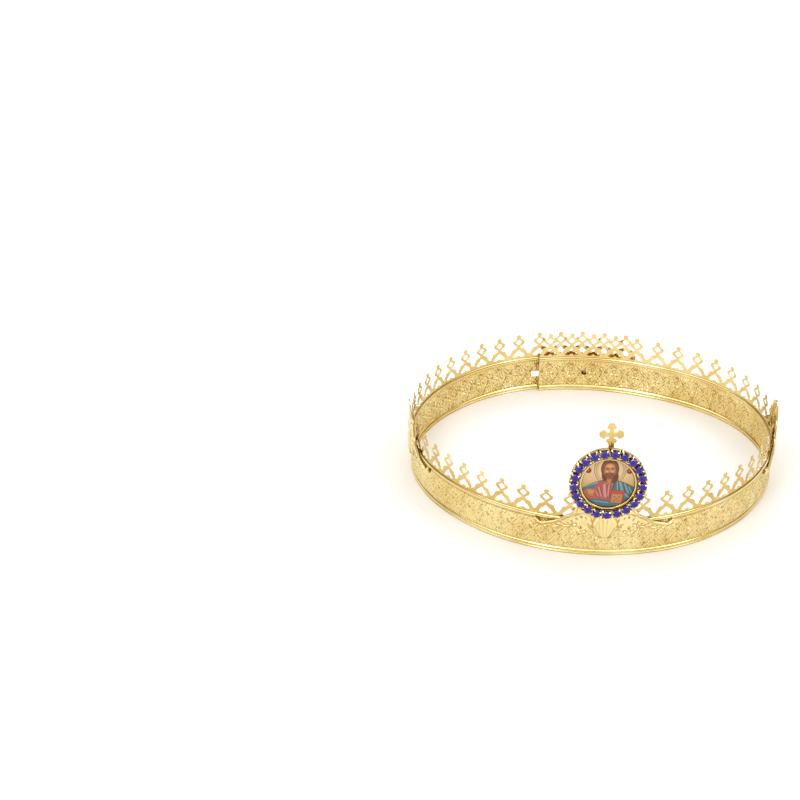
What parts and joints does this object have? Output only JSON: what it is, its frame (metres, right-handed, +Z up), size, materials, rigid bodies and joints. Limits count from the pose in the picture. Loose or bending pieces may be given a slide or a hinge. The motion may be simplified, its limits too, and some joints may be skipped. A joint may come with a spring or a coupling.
{
  "type": "orthodox wedding crown",
  "caption": "Lapped round band of embossed gilt metal with a pierced cresting of finials, pressed plaques at front and sides, and a round picture medallion ringed with stones under a cross.",
  "frame": {"origin": "middle of the crown's outline seen from above, at the surface it stands on", "axes": "+Z up; -Y is the front, where the medallion faces; +X is to the right seen from the front"},
  "size_m": [0.187, 0.1882, 0.0717],
  "materials": {
    "band_gilt": "gilt, bright rolled rims, fine grained embossing between them",
    "gallery_gilt": "gilt, bright, stamped edges",
    "plaque_gilt": "gilt, polished relief with matt hollows",
    "case_gilt": "gilt, bright",
    "cup_gilt": "gilt, bright",
    "cross_gilt": "gilt, bright",
    "stone_blue": "deep blue faceted glass with a foiled back, so it isn't seen through",
    "picture_enamel": "small painted picture under a clear glossy dome"
  },
  "bodies": {
    "root": {"embossed_band": "band_gilt", "gallery": "gallery_gilt", "plaque_front": "plaque_gilt", "plaque_right": "plaque_gilt", "plaque_left": "plaque_gilt", "medallion_case": "case_gilt", "cup_ring": "cup_gilt", "picture_cabochon": "picture_enamel", "cross": "cross_gilt", "stone_01": "stone_blue", "stone_02": "stone_blue", "stone_03": "stone_blue", "stone_04": "stone_blue", "stone_05": "stone_blue", "stone_06": "stone_blue", "stone_07": "stone_blue", "stone_08": "stone_blue", "stone_09": "stone_blue", "stone_10": "stone_blue", "stone_11": "stone_blue", "stone_12": "stone_blue", "stone_13": "stone_blue", "stone_14": "stone_blue", "stone_15": "stone_blue", "stone_16": "stone_blue", "stone_17": "stone_blue", "stone_18": "stone_blue", "stone_19": "stone_blue", "stone_20": "stone_blue", "stone_21": "stone_blue"}
  },
  "joints": []
}
